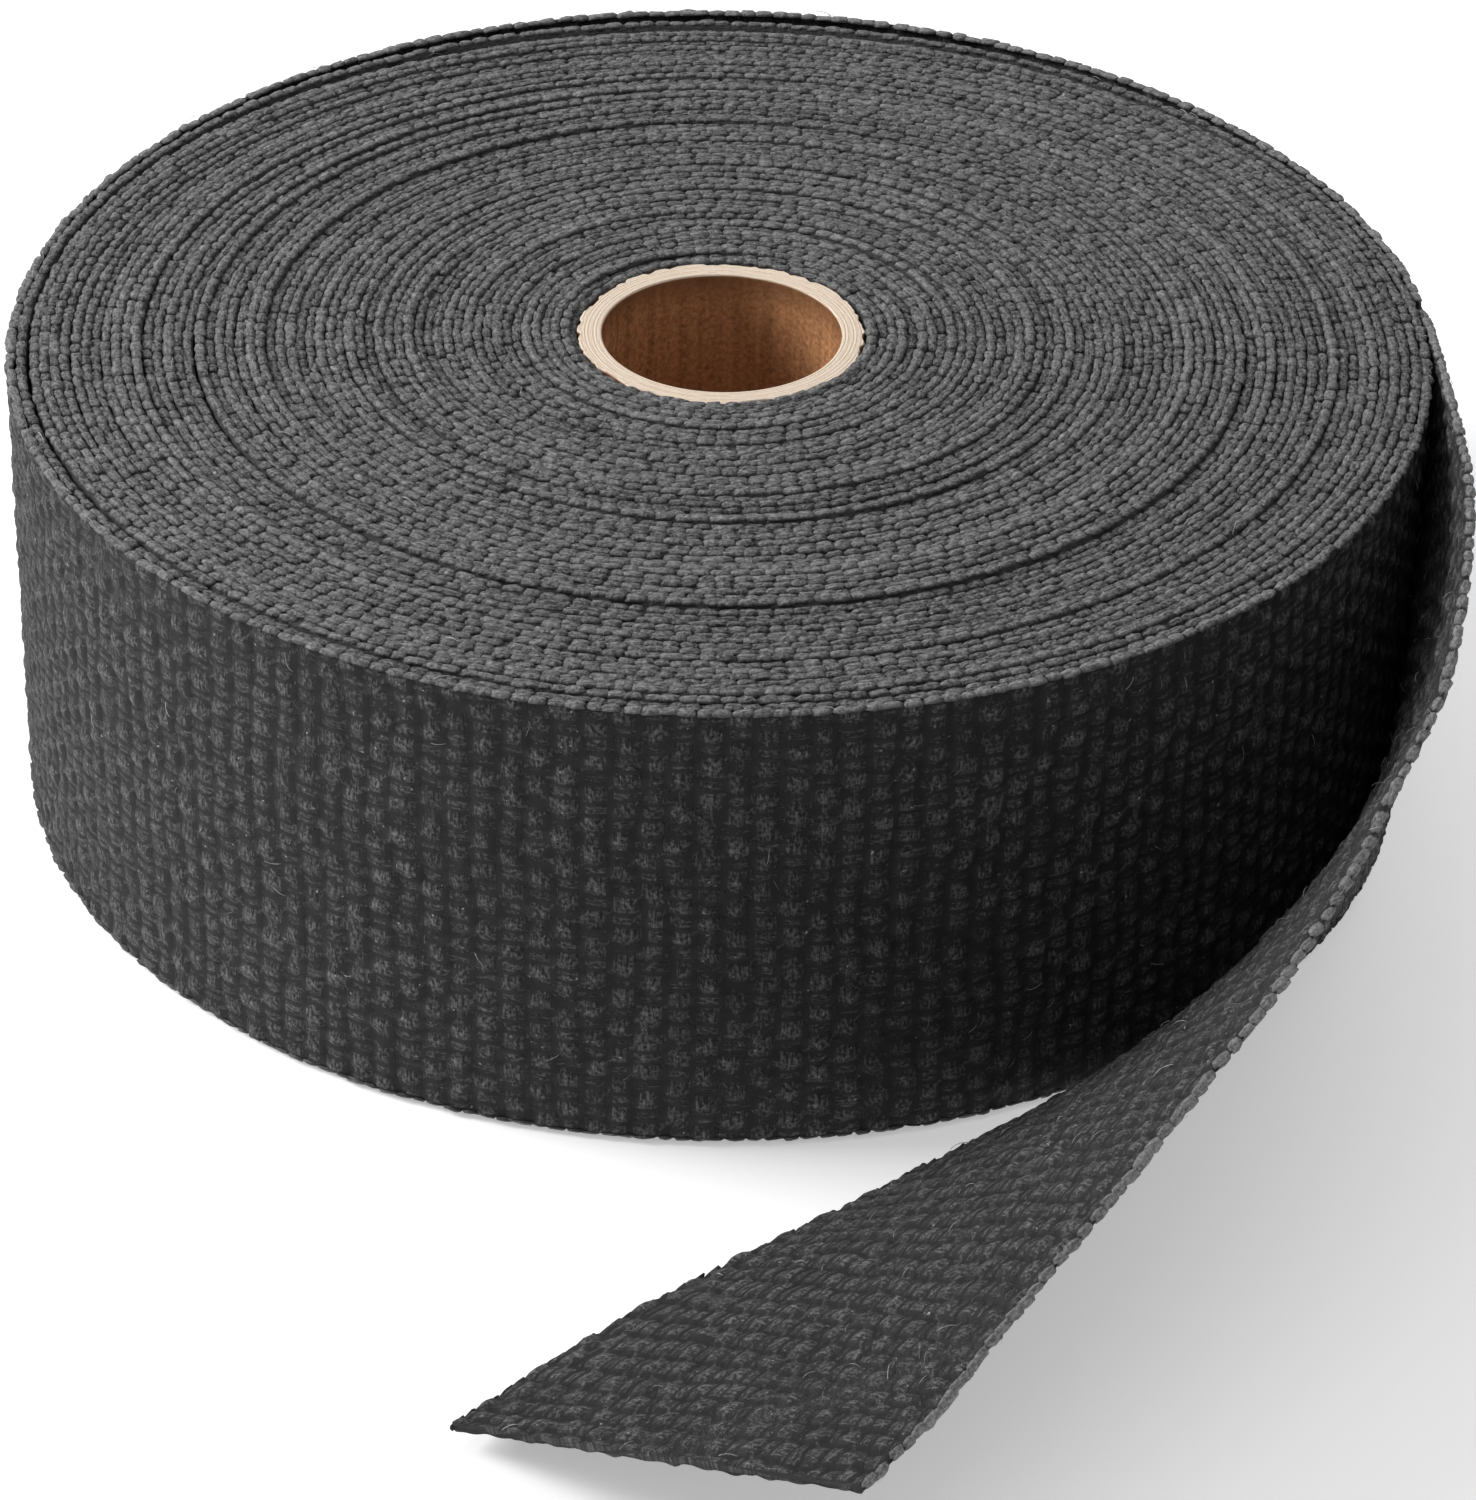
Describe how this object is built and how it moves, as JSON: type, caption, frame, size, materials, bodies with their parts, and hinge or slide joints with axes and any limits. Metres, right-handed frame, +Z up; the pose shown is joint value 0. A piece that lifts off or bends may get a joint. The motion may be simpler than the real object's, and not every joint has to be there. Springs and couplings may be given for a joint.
{
  "type": "exhaust heat wrap",
  "caption": "Roll of dark woven heat-resistant tape wound on a cardboard core, standing on its end with its free end leading off forward and leaning outward.",
  "frame": {"origin": "under the middle of the whole part's box, on the floor that the roll stands on", "axes": "+Z up along the roll's axis, -Y towards the end of the free tape, +X on the side where the tape leaves the roll"},
  "size_m": [0.1528, 0.2268, 0.0534],
  "materials": {
    "woven_tape": "dark graphite woven mineral fibre, dull with a faint sheen on the yarns",
    "cardboard": "plain spiral-wound cardboard, paler at its cut ends and brown inside the bore"
  },
  "bodies": {
    "root": {"heat_wrap": "woven_tape", "cardboard_core": "cardboard"}
  },
  "joints": []
}
